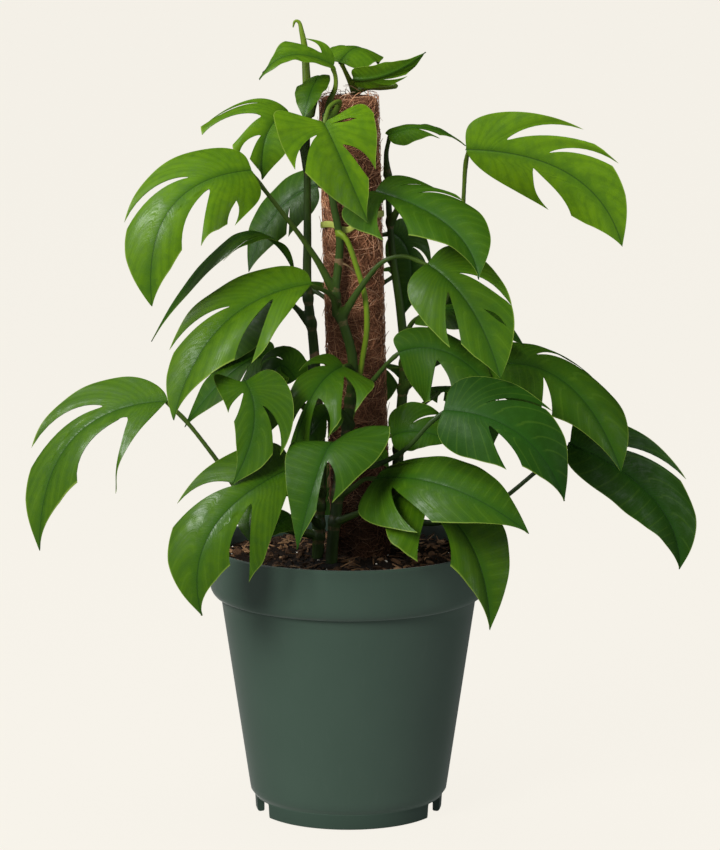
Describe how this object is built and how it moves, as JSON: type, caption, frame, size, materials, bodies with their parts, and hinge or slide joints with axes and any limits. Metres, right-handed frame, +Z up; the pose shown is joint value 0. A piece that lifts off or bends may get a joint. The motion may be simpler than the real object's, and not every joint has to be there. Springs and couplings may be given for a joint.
{
  "type": "mini monstera",
  "caption": "Mini monstera in a round nursery pot: split leaves on long stalks, climbing stems tied to a coir pole that stands in the potting mix.",
  "frame": {"origin": "middle of the plan box, at the foot of the pot", "axes": "+Z up along the pot; -Y is the front, where most leaves face; +X is to the right seen from the front"},
  "size_m": [0.4782, 0.2994, 0.5711],
  "materials": {
    "pot": "dark green moulded plastic, satin",
    "soil": "dark potting mix with bark chips and white grains",
    "coir": "matted brown coconut fibre",
    "stake": "plain raw core",
    "tie": "soft yellow-green tie",
    "stem": "smooth green stem",
    "leaf": "leathery green blade with a soft gloss",
    "young_leaf": "pale rolled young leaf"
  },
  "bodies": {
    "root": {"pot": "pot", "soil": "soil", "coir_pole": "coir", "pole_stake": "stake", "plant_tie": "tie", "vine_front": "stem", "vine_left": "stem", "vine_right": "stem", "vine_back": "stem", "new_leaf": "young_leaf", "leaf_crown_left": "leaf", "leaf_crown_back": "leaf", "leaf_crown_right": "leaf", "leaf_crown_hanging": "leaf", "leaf_upper_front": "leaf", "leaf_upper_left": "leaf", "leaf_left_big": "leaf", "leaf_right_big": "leaf", "leaf_right_behind": "leaf", "leaf_middle_right": "leaf", "leaf_middle_left": "leaf", "leaf_left_arching": "leaf", "leaf_left_rear": "leaf", "leaf_left_shade": "leaf", "leaf_right_middle": "leaf", "leaf_pole_rear": "leaf", "leaf_right_lower": "leaf", "leaf_right_outer": "leaf", "leaf_right_rear": "leaf", "leaf_lower_right": "leaf", "leaf_far_right": "leaf", "leaf_front_right": "leaf", "leaf_rim_right": "leaf", "leaf_centre_right": "leaf", "leaf_far_left": "leaf", "leaf_left_low_rear": "leaf", "leaf_left_front": "leaf", "leaf_left_top": "leaf", "leaf_front_middle": "leaf", "leaf_front_low": "leaf", "leaf_rim_left": "leaf", "leaf_small_left": "leaf", "leaf_small_grey": "leaf", "leaf_under_front": "leaf", "leaf_dark_centre": "leaf", "leaf_back_high": "leaf", "leaf_back_left": "leaf", "leaf_back_right": "leaf", "leaf_back_low_left": "leaf", "leaf_back_low": "leaf", "leaf_back_low_right": "leaf", "leaf_back_rim": "leaf"}
  },
  "joints": []
}
